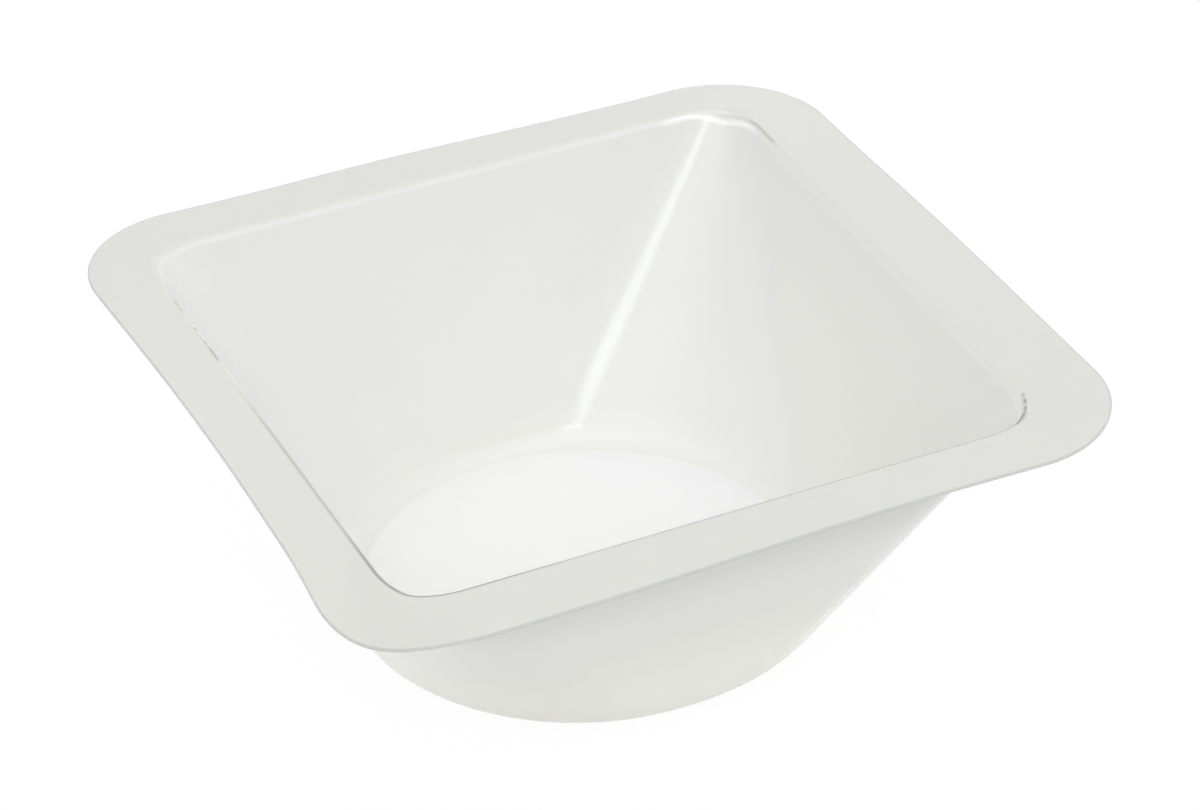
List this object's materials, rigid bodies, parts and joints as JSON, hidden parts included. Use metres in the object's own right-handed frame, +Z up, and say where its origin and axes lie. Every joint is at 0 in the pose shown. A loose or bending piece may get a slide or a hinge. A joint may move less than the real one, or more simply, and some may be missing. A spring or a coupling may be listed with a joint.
{
  "type": "weighing boat",
  "caption": "Square thin-walled plastic weighing boat with a level rim, a square opening that narrows to a round flat floor, and an open top.",
  "frame": {"origin": "under the middle of the square rim, on the plane the boat stands on", "axes": "+Z up, out of the open top; X and Y along the sides of the square rim; the bowl sits 0.9 mm to the -X side of the rim's middle"},
  "size_m": [0.084, 0.084, 0.031],
  "materials": {
    "polystyrene": "milky white thin polystyrene sheet, softly glossy and slightly translucent"
  },
  "bodies": {
    "root": {"boat": "polystyrene"}
  },
  "joints": []
}
